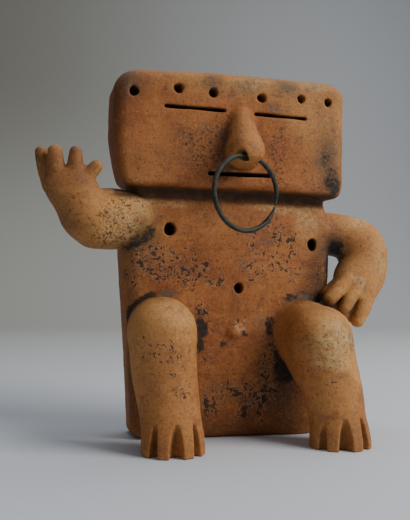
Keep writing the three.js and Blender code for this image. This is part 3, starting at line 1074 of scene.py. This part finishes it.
# Black deposits and painted shade on the body beside the left leg's root and under the raised arm's
# root
soot_and_shade = np.maximum(
    beside(LEFT_LEG, 6) * spots([((-64, FRONT, 84), (16, 8, 22), 1.0)], 0.3),
    0.8 * beside(RAISED, 7) * spots([((-60, FRONT, 126), (14, 8, 12), 1.0)], 0.4),
)
black_and_shade = np.maximum(spots(BLACK_AND_SHADE, 0.45, 1.0) * (1 - 0.9 * np.maximum(ON_LEFT, ON_RIGHT)), soot_and_shade)
# The black, smoke and dark marks carry painted shade besides deposits, smoke and stains; the pale and
# ochre marks carry painted light besides slip and clay tone
store(figure, "black_and_shade", black_and_shade)
store(figure, "specks", np.maximum(1.12 * spots(SPECKS, 0.35, 2.2), 0.16 + 0.12 * ON_BODY))
store(figure, "dust", np.maximum(spots(DUST, 0.45, 1.6), 0.15))
store(figure, "grey", spots(GREY, 0.5, 1.6))
store(figure, "smoke_and_shade", spots(SMOKE_AND_SHADE, 0.75, 1.2))
store(figure, "stain_and_shade", np.maximum(spots(DARK_STAIN_AND_SHADE, 0.6, 1.0), 0.5 * ON_PALM))
store(figure, "pale_and_highlight", spots(PALE_AND_HIGHLIGHT, 0.5, 1.4) * (1 - JAW_SHADE))
store(figure, "tan", tan)
store(figure, "ochre_and_light", ochre_and_light)
store(figure, "painted_jaw_shade", JAW_SHADE)
# Painted shade inside the perforations and the slits
store(figure, "inside", in_holes())
# Painted shade darkens the creases
store(figure, "painted_crease_shade", smooth_step(-hollow, 0.10, 1.1))
store(figure, "worn", smooth_step(hollow, 0.25, 1.3))


# ---- Materials -----------------------------------------------------------------------


class Graph:
    """A material's nodes, made one call at a time."""

    def __init__(self, name):
        self.material = bpy.data.materials.new(name)
        self.material.use_nodes = True
        self.tree = self.material.node_tree
        self.tree.nodes.clear()
        self.out = self.tree.nodes.new("ShaderNodeOutputMaterial")

    def put(self, socket, value):
        if isinstance(value, bpy.types.NodeSocket):
            self.tree.links.new(value, socket)
        elif value is not None:
            socket.default_value = value

    def node(self, kind, inputs=(), **settings):
        made = self.tree.nodes.new("ShaderNode" + kind)
        for key, value in settings.items():
            setattr(made, key, value)
        for key, value in dict(inputs).items():
            self.put(made.inputs[key], value)
        return made

    def math(self, operation, a, b=None, clamp=False):
        made = self.node("Math", operation=operation, use_clamp=clamp)
        self.put(made.inputs[0], a)
        self.put(made.inputs[1], b)
        return made.outputs[0]

    def mix(self, share, a, b, blend="MIX"):
        made = self.node("Mix", data_type="RGBA", blend_type=blend)
        self.put(made.inputs[0], share)
        self.put(made.inputs[6], a)
        self.put(made.inputs[7], b)
        return made.outputs[2]

    def ramp(self, value, start, end, low=0.0, high=1.0, smooth=True):
        made = self.node("MapRange", clamp=True)
        if smooth:
            made.interpolation_type = "SMOOTHSTEP"
        for k, number in enumerate((value, start, end, low, high)):
            self.put(made.inputs[k], number)
        return made.outputs[0]

    def place(self, scale):
        """Object coordinates in millimetres, stretched by a scale for each axis."""
        spot_ = self.node("TexCoord").outputs["Object"]
        made = self.node("Mapping", {"Vector": spot_, "Scale": [s / MM for s in scale]})
        return made.outputs[0]

    def noise(self, size, detail=3.0, rough=0.55, bend=0.0, scale=(1, 1, 1)):
        """Noise with features of about the given size in millimetres."""
        made = self.node(
            "TexNoise",
            {
                "Vector": self.place(scale),
                "Scale": 1.0 / size,
                "Detail": detail,
                "Roughness": rough,
                "Distortion": bend,
            },
        )
        return made.outputs["Fac"]

    def attribute(self, name):
        return self.node("Attribute", attribute_name=name).outputs["Fac"]


def colour(r, g, b):
    """A linear colour from the usual 0 to 255 scale."""
    made = []
    for value in (r, g, b):
        v = value / 255
        made.append(v / 12.92 if v < 0.04045 else ((v + 0.055) / 1.055) ** 2.4)
    return (*made, 1.0)


def clay_material():
    g = Graph("clay")
    black_and_shade = g.attribute("black_and_shade")
    specks = g.attribute("specks")
    dust = g.attribute("dust")
    grey = g.attribute("grey")
    smoke_and_shade = g.attribute("smoke_and_shade")
    stain_and_shade = g.attribute("stain_and_shade")
    pale_and_highlight = g.attribute("pale_and_highlight")
    tan = g.attribute("tan")
    ochre_and_light = g.attribute("ochre_and_light")
    painted_jaw_shade = g.attribute("painted_jaw_shade")
    inside = g.attribute("inside")
    painted_crease_shade = g.attribute("painted_crease_shade")
    worn = g.attribute("worn")

    broad = g.noise(40, 3, 0.5)
    cloud = g.noise(14, 4, 0.6, 0.6)
    mottle = g.noise(5.5, 4, 0.65, 0.4)
    grain = g.noise(2.0, 4, 0.7)
    sand = g.noise(1.0, 3, 0.7)
    across = g.noise(2.6, 3, 0.6, 0.2, (0.10, 1, 1))
    upward = g.noise(2.6, 3, 0.6, 0.2, (1, 1, 0.12))

    # Fired clay: red-brown on the slab, tan on the limbs, and ochre that is partly clay tone and
    # partly painted light on the lit head top, arm tops, knees and elbow
    red = g.mix(g.ramp(broad, 0.35, 0.65), colour(146, 82, 37), colour(168, 104, 52))
    buff = g.mix(g.ramp(broad, 0.35, 0.65), colour(182, 122, 64), colour(196, 140, 78))
    base = g.mix(tan, red, buff)
    base = g.mix(g.math("MULTIPLY", ochre_and_light, 0.7), base, colour(186, 138, 76))
    light = g.mix(tan, colour(188, 124, 66), colour(204, 154, 92))
    deep = g.mix(tan, colour(104, 54, 23), colour(142, 86, 42))
    base = g.mix(g.ramp(cloud, 0.50, 0.74, 0, 0.55), base, light)
    base = g.mix(g.ramp(cloud, 0.48, 0.28, 0, 0.55), base, deep)
    base = g.mix(g.ramp(mottle, 0.54, 0.76, 0, 0.45), base, light)
    base = g.mix(g.ramp(mottle, 0.46, 0.26, 0, 0.55), base, deep)
    base = g.mix(g.ramp(across, 0.56, 0.78, 0, 0.4), base, deep)
    base = g.mix(g.ramp(upward, 0.58, 0.8, 0, 0.3), base, deep)

    # Stains, pale slip, grey ash and smoke. The dark and smoky marks also carry painted shade, and
    # the pale marks painted highlight
    stain_and_shade_mottled = g.math("MULTIPLY", stain_and_shade, g.ramp(mottle, 0.3, 0.6, 0.55, 1.0))
    base = g.mix(g.math("MULTIPLY", stain_and_shade_mottled, 0.72), base, colour(56, 34, 18))
    chalk_and_highlight = g.math("MULTIPLY", pale_and_highlight, g.ramp(g.noise(3.2, 4, 0.65), 0.34, 0.6))
    base = g.mix(g.math("MULTIPLY", chalk_and_highlight, 0.8), base, colour(206, 176, 124))
    ash = g.math("MULTIPLY", grey, g.ramp(g.noise(3.4, 4, 0.7), 0.34, 0.58))
    base = g.mix(g.math("MULTIPLY", ash, 0.85), base, colour(92, 86, 74))
    haze_and_shade = g.math("MULTIPLY", smoke_and_shade, g.ramp(mottle, 0.28, 0.6, 0.55, 1.0))
    base = g.mix(g.math("MULTIPLY", haze_and_shade, 0.86), base, colour(48, 40, 27))
    base = g.mix(g.math("MULTIPLY", worn, 0.3), base, light)

    # Grain of the skin
    base = g.mix(g.ramp(grain, 0.5, 0.74, 0, 0.55), base, colour(82, 48, 26))
    base = g.mix(g.ramp(grain, 0.46, 0.26, 0, 0.28), base, colour(208, 148, 88))
    base = g.mix(g.ramp(sand, 0.54, 0.74, 0, 0.55), base, colour(70, 42, 24))
    base = g.mix(g.ramp(sand, 0.46, 0.28, 0, 0.16), base, colour(214, 158, 100))

    # Dust of dark iron spots
    tiny = g.noise(1.7, 3, 0.65, 0.7)
    edge = g.math("SUBTRACT", 0.73, g.math("MULTIPLY", dust, 0.19))
    dusty = g.ramp(g.math("SUBTRACT", tiny, edge), -0.01, 0.035)
    base = g.mix(g.math("MULTIPLY", dusty, 0.8), base, colour(58, 33, 18))

    # Black flecks, coarse and fine, each with a pale rim painted as the highlight on the edge of its
    # pit
    coarse = g.noise(4.4, 4, 0.66, 1.1)
    fine = g.noise(2.1, 3, 0.62, 0.8)
    above = g.math("SUBTRACT", coarse, g.math("SUBTRACT", 0.75, g.math("MULTIPLY", specks, 0.205)))
    above_fine = g.math("SUBTRACT", fine, g.math("SUBTRACT", 0.76, g.math("MULTIPLY", specks, 0.185)))
    most = g.math("MAXIMUM", above, above_fine)
    fleck_rim_highlight = g.ramp(most, -0.06, -0.02, 0, 0.42)
    base = g.mix(g.math("MULTIPLY", fleck_rim_highlight, specks), base, colour(204, 150, 106))
    flecks = g.ramp(most, -0.008, 0.02)
    fleck_colour = g.mix(g.ramp(mottle, 0.4, 0.6), colour(34, 24, 17), colour(52, 34, 22))
    base = g.mix(g.math("MULTIPLY", flecks, 0.9), base, fleck_colour)

    # Black deposits and painted shade, solid in the middle and broken at the edge
    crust_and_shade = g.math("ADD", black_and_shade, g.math("MULTIPLY", g.math("SUBTRACT", coarse, 0.5), 1.3))
    crust_and_shade = g.math("ADD", crust_and_shade, g.math("MULTIPLY", g.math("SUBTRACT", grain, 0.5), 0.9))
    crust_and_shade = g.ramp(crust_and_shade, 0.30, 0.86)
    crust_and_shade = g.math("MULTIPLY", crust_and_shade, g.ramp(black_and_shade, 0.02, 0.3))
    black_and_shade_colour = g.mix(g.ramp(g.noise(2.2, 4, 0.7), 0.46, 0.72), colour(22, 20, 18), colour(64, 50, 36))
    base = g.mix(g.math("MULTIPLY", crust_and_shade, 0.94), base, black_and_shade_colour)

    # Painted shade under the jaw, in creases and inside the holes
    under = g.math("MULTIPLY", painted_jaw_shade, g.ramp(mottle, 0.25, 0.6, 0.7, 1.0))
    base = g.mix(g.math("MULTIPLY", under, 0.88), base, colour(38, 31, 19))
    base = g.mix(g.math("MULTIPLY", painted_crease_shade, 0.72), base, colour(36, 24, 14))
    base = g.mix(g.math("MULTIPLY", inside, 0.95), base, colour(14, 10, 7))

    # Fine cracks in the pale slip
    cracks = g.node(
        "TexVoronoi",
        {"Vector": g.place((1, 1, 1)), "Scale": 0.24, "Randomness": 1.0},
        feature="DISTANCE_TO_EDGE",
    ).outputs["Distance"]
    crack = g.math("MULTIPLY", g.ramp(cracks, 0.06, 0.02), g.ramp(pale_and_highlight, 0.5, 0.95))
    base = g.mix(g.math("MULTIPLY", crack, 0.3), base, colour(96, 74, 46))

    # Relief: a sandy skin, dragged strokes, and pits where the flecks sit
    height = g.math("MULTIPLY", sand, 0.16)
    height = g.math("ADD", height, g.math("MULTIPLY", grain, 0.34))
    height = g.math("ADD", height, g.math("MULTIPLY", across, 0.2))
    height = g.math("ADD", height, g.math("MULTIPLY", mottle, 0.4))
    height = g.math("SUBTRACT", height, g.math("MULTIPLY", flecks, 0.22))
    height = g.math("SUBTRACT", height, g.math("MULTIPLY", dusty, 0.10))
    height = g.math("ADD", height, g.math("MULTIPLY", crust_and_shade, 0.12))
    bump = g.node("Bump", {"Strength": 0.85, "Distance": MM, "Height": height})

    rough = g.ramp(cloud, 0.3, 0.7, 0.6, 0.8)
    rough = g.math("SUBTRACT", rough, g.math("MULTIPLY", worn, 0.08))
    rough = g.math("ADD", rough, g.math("MULTIPLY", flecks, 0.1))
    shader = g.node(
        "BsdfPrincipled",
        {
            "Base Color": base,
            "Roughness": rough,
            "Specular IOR Level": 0.35,
            "Normal": bump.outputs[0],
        },
    )
    g.put(g.out.inputs[0], shader.outputs[0])
    return g.material


def ring_material():
    g = Graph("patina")
    cloud = g.noise(3.2, 4, 0.65, 0.4)
    grain = g.noise(0.8, 4, 0.7)
    base = g.mix(g.ramp(cloud, 0.38, 0.66), colour(30, 31, 24), colour(58, 64, 52))
    base = g.mix(g.ramp(grain, 0.58, 0.75, 0, 0.7), base, colour(82, 122, 110))
    base = g.mix(g.ramp(grain, 0.46, 0.3, 0, 0.7), base, colour(38, 25, 15))
    bump = g.node(
        "Bump", {"Strength": 0.6, "Distance": 0.4 * MM, "Height": g.math("ADD", cloud, grain)}
    )
    shader = g.node(
        "BsdfPrincipled",
        {
            "Base Color": base,
            "Roughness": g.ramp(cloud, 0.3, 0.7, 0.42, 0.62),
            "Metallic": 0.35,
            "Specular IOR Level": 0.5,
            "Normal": bump.outputs[0],
        },
    )
    g.put(g.out.inputs[0], shader.outputs[0])
    return g.material


# ---- The ring ------------------------------------------------------------------------


def ring_object():
    """An open hoop of hand-drawn wire, thinner towards its two ends."""
    steps, sides = 240, 18
    radius, wire = 23.45, 1.55
    gap, turn = 1.6 / radius, math.radians(17)
    start, sweep = math.radians(-17) + gap / 2, 2 * math.pi - gap
    centre = np.array([1.9, -42, 156.3])
    points, faces = [], []
    for step in range(steps + 1):
        along = step / steps
        angle = start + along * sweep
        to_end = min(along, 1 - along) * sweep
        share = mix(0.5, 1.0, float(smooth_step(to_end, 0, 0.42)))
        size = wire * share * (1 + 0.03 * math.sin(9 * angle + 1) + 0.02 * math.sin(23 * angle))
        shift = 0.16 * math.sin(3 * angle + 0.6) + 0.08 * math.sin(7 * angle)
        for i in range(sides):
            around = 2 * math.pi * i / sides
            far = radius + shift + size * math.cos(around)
            points.append(
                (far * math.cos(angle), size * math.sin(around), far * math.sin(angle))
            )
    for step in range(steps):
        for i in range(sides):
            a, b = step * sides + i, step * sides + (i + 1) % sides
            faces.append((a, b, b + sides, a + sides))
    rotation = Matrix.Rotation(turn, 3, "Z")
    points = np.array([rotation @ Vector(p) for p in points])
    caps = []
    for first, away in ((0, -1), (steps * sides, 1)):
        hub = points[first : first + sides].mean(axis=0)
        near = points[first + away * -sides : first + away * -sides + sides].mean(axis=0)
        tip = hub + (hub - near) / np.linalg.norm(hub - near) * 0.35
        caps.append((first, tip))
    whole = [tuple(p) for p in points]
    for first, tip in caps:
        at = len(whole)
        whole.append(tuple(tip))
        for i in range(sides):
            faces.append((first + i, first + (i + 1) % sides, at))
    mesh = bpy.data.meshes.new("ring_of_wire")
    where = (centre + OFFSET) * MM
    mesh.from_pydata([tuple(np.array(p) * MM + where) for p in whole], [], faces)
    mesh.update()
    made = bpy.data.objects.new("ring_of_wire", mesh)
    bpy.context.scene.collection.objects.link(made)
    mend_normals(made)
    smooth_shaded(made)
    return made


def mend_normals(obj):
    import bmesh

    work = bmesh.new()
    work.from_mesh(obj.data)
    bmesh.ops.recalc_face_normals(work, faces=work.faces)
    work.to_mesh(obj.data)
    work.free()


figure.data.materials.append(clay_material())
ring = ring_object()
ring.data.materials.append(ring_material())
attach(ring, "root")
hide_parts("nose_ring")


# ---- Floor, light and camera ---------------------------------------------------------


def sweep_object():
    """A floor that curves up into a backdrop."""
    near, flat, radius, top, half = -3.0, 1.1, 0.9, 4.0, 5.0
    line = [(near, 0.0), (-1.0, 0.0), (0.0, 0.0), (flat, 0.0)]
    for k in range(1, 25):
        a = k / 24 * math.pi / 2
        line.append((flat + radius * math.sin(a), radius * (1 - math.cos(a))))
    line.append((flat + radius, top))
    points, faces = [], []
    for y, z in line:
        points += [(-half, y, z), (half, y, z)]
    for k in range(len(line) - 1):
        a = 2 * k
        faces.append((a, a + 1, a + 3, a + 2))
    mesh = bpy.data.meshes.new("floor")
    mesh.from_pydata(points, [], faces)
    mesh.update()
    made = bpy.data.objects.new("floor", mesh)
    bpy.context.scene.collection.objects.link(made)
    smooth_shaded(made)
    return made


def floor_material():
    g = Graph("paper")
    parts = g.node("SeparateXYZ", {"Vector": g.node("TexCoord").outputs["Object"]})
    x, y, z = parts.outputs
    # Painted light on the paper: paler in front and to the right, darker towards the back, up the
    # backdrop and to the left, as the lamp's light falls off
    back = g.ramp(y, -0.15, 1.3, smooth=True)
    base = g.mix(back, colour(200, 206, 215), colour(190, 190, 184))
    base = g.mix(g.ramp(z, 0.05, 0.8), base, colour(150, 148, 138))
    base = g.mix(g.ramp(x, -0.3, 1.2, 0, 1), base, colour(226, 229, 232))
    base = g.mix(g.ramp(x, 0.0, -1.0, 0, 0.3), base, colour(120, 122, 122))
    shader = g.node(
        "BsdfPrincipled",
        {"Base Color": base, "Roughness": 0.9, "Specular IOR Level": 0.1},
    )
    g.put(g.out.inputs[0], shader.outputs[0])
    return g.material


floor = sweep_object()
floor.data.materials.append(floor_material())


def area_light(name, place, target, size, power, tint):
    data = bpy.data.lights.new(name, "AREA")
    data.shape = "RECTANGLE"
    data.size, data.size_y = size
    data.energy = power
    data.color = tint
    made = bpy.data.objects.new(name, data)
    made.location = place
    made.rotation_mode = "QUATERNION"
    aim = Vector(target) - Vector(place)
    made.rotation_quaternion = aim.to_track_quat("-Z", "Y")
    bpy.context.scene.collection.objects.link(made)
    return made


area_light("key", (0.86, -0.62, 0.84), (0, 0, 0.1), (0.7, 0.7), 16, (1.0, 0.97, 0.93))
area_light("fill", (-1.6, -1.5, 0.9), (0, 0, 0.12), (1.5, 1.2), 3.2, (0.95, 0.97, 1.0))
area_light("top", (0.1, 0.4, 1.8), (0, 0.2, 0.1), (1.2, 1.2), 12, (1.0, 1.0, 1.0))

world = bpy.data.worlds.new("world")
world.use_nodes = True
world.node_tree.nodes["Background"].inputs[0].default_value = (0.62, 0.66, 0.72, 1)
world.node_tree.nodes["Background"].inputs[1].default_value = 0.2
bpy.context.scene.world = world


def camera_object():
    """The camera of the photograph: a 50 mm lens, low and a little to the left."""
    yaw, pitch, roll = (math.radians(a) for a in (14.2195, 1.7637, 0.9510))
    forward = Vector(
        (math.sin(yaw) * math.cos(pitch), math.cos(yaw) * math.cos(pitch), math.sin(pitch))
    )
    side = Vector((math.cos(yaw), -math.sin(yaw), 0))
    up = side.cross(forward)
    right = side * math.cos(roll) + up * math.sin(roll)
    top = up * math.cos(roll) - side * math.sin(roll)
    data = bpy.data.cameras.new("camera")
    data.lens = 50
    data.sensor_width = 36
    data.clip_start, data.clip_end = 0.01, 50
    made = bpy.data.objects.new("camera", data)
    turn = Matrix((right, top, -forward)).transposed()
    place = (np.array([-132.420, -470.539, 100.214]) + OFFSET) * MM
    made.matrix_world = Matrix.Translation(Vector(place)) @ turn.to_4x4()
    bpy.context.scene.collection.objects.link(made)
    return made


bpy.context.scene.camera = camera_object()
